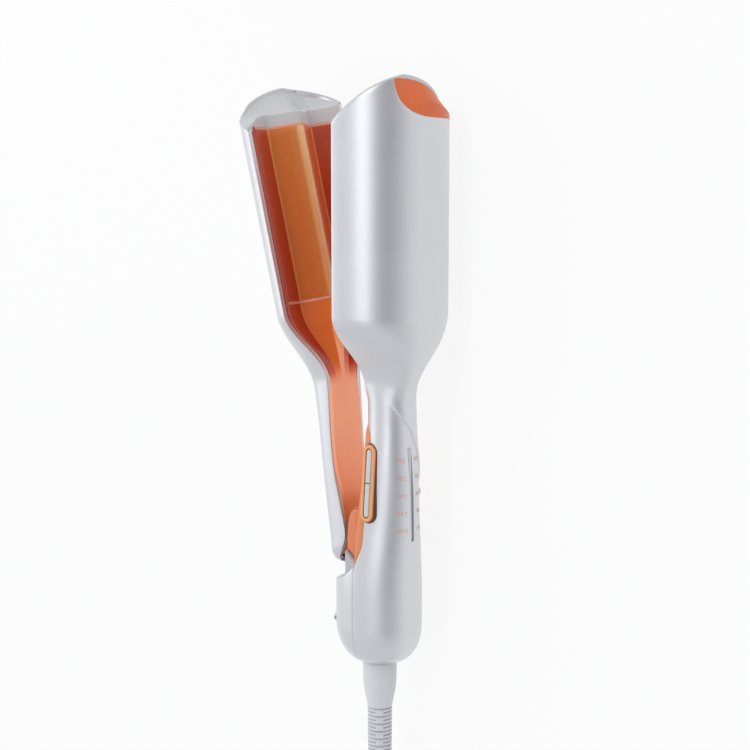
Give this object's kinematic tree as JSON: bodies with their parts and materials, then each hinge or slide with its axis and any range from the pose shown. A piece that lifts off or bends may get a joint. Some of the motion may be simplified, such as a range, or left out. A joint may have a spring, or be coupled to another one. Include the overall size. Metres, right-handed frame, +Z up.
{
  "type": "hair waver",
  "caption": "Two-arm hair waver with matching heated wave plates, sprung hinge, temperature keys, slide switch and mains cord on a swivelling strain relief.",
  "frame": {"origin": "middle of the footprint of the tool (without cord, coil, plug and strain relief) on the table on which it lies on its side", "axes": "+Y runs from the cord end to the tips along the main arm, +X to the main arm's outer side, -X is the way the lever opens, +Z up to the side with the keys"},
  "size_m": [0.1951, 0.5369, 0.069],
  "materials": {
    "silver_paint": "satin silver lacquer over moulded plastic",
    "orange_gloss": "glossy heat-proof plastic",
    "orange_insert": "satin grip plastic",
    "plate_coat": "ceramic coating with fine grain on aluminium",
    "end_grey": "smooth light grey plastic",
    "bezel_orange": "light orange plastic",
    "key_grey": "matt grey key plastic",
    "light_window": "milky light window",
    "gap_grey": "light grey moulding between handle and lever",
    "inner_grey": "glass-filled nylon",
    "ceramic": "white alumina",
    "steel": "bright spring steel and screws",
    "bronze": "sintered bronze",
    "circuit_green": "solder-masked board",
    "black_part": "black moulded part",
    "black_rubber": "soft black rubber",
    "lead_sleeve": "silicone sleeve",
    "cord_white": "pale lilac-grey PVC",
    "pin_metal": "nickel plated brass"
  },
  "bodies": {
    "root": {"handle_front_shell": "silver_paint", "handle_back_cover": "silver_paint", "main_inner_cover": "orange_gloss", "main_tip_insert": "orange_insert", "main_end_cap": "end_grey", "main_wave_plate": "plate_coat", "main_heater": "ceramic", "main_heater_clip": "steel", "main_thermistor": "black_part", "hinge_frame": "inner_grey", "hinge_knuckle": "orange_gloss", "hinge_pin": "steel", "opening_spring": "steel", "control_board": "circuit_green", "display_board": "circuit_green", "light_bar": "light_window", "key_board": "circuit_green", "key_switches": "black_part", "button_bezel": "bezel_orange", "slide_switch": "black_part", "gap_cover": "gap_grey", "swivel_retainer": "inner_grey", "back_cover_screws": "steel", "heater_leads": "lead_sleeve", "cord_tube": "cord_white", "cord_coil": "cord_white", "cord_tie": "black_rubber", "plug_body": "cord_white", "plug_pins": "pin_metal"},
    "lever": {"lever_shell": "silver_paint", "lever_inner_cover": "orange_gloss", "lever_tip_insert": "orange_insert", "lever_end_cap": "end_grey", "lever_wave_plate": "plate_coat", "lever_heater": "ceramic", "lever_heater_clip": "steel", "lever_thermal_fuse": "steel", "lever_bracket": "steel", "bracket_screws": "steel", "rubber_stop": "black_rubber", "hinge_bushes": "bronze"},
    "plus_key": {"plus_key": "key_grey"},
    "minus_key": {"minus_key": "key_grey"},
    "power_slider": {"power_slider": "silver_paint"},
    "cord_swivel": {"strain_relief": "cord_white"}
  },
  "joints": [
    {"name": "lever_hinge", "type": "hinge", "parent": "root", "child": "lever", "pos_m": [0.01934, -0.095, 0.0345], "axis": [0, 0, -1], "range_deg": [0, 16], "stiffness_Nm_per_rad": 0.3, "springref_deg": -51.57, "deforming": ["opening_spring", "heater_leads"]},
    {"name": "plus_key_press", "type": "slide", "parent": "root", "child": "plus_key", "axis": [0, -0.1132, -0.9936], "range_m": [0, 0.0006], "stiffness_N_per_m": 500, "springref_m": -0.0006},
    {"name": "minus_key_press", "type": "slide", "parent": "root", "child": "minus_key", "axis": [0, -0.1132, -0.9936], "range_m": [0, 0.0006], "stiffness_N_per_m": 500, "springref_m": -0.0006},
    {"name": "power_slide", "type": "slide", "parent": "root", "child": "power_slider", "axis": [0, 1, 0], "range_m": [0, 0.003]},
    {"name": "cord_swivel_turn", "type": "hinge", "parent": "root", "child": "cord_swivel", "pos_m": [0.02634, -0.155, 0.0345], "axis": [0, 1, 0], "continuous": true}
  ]
}
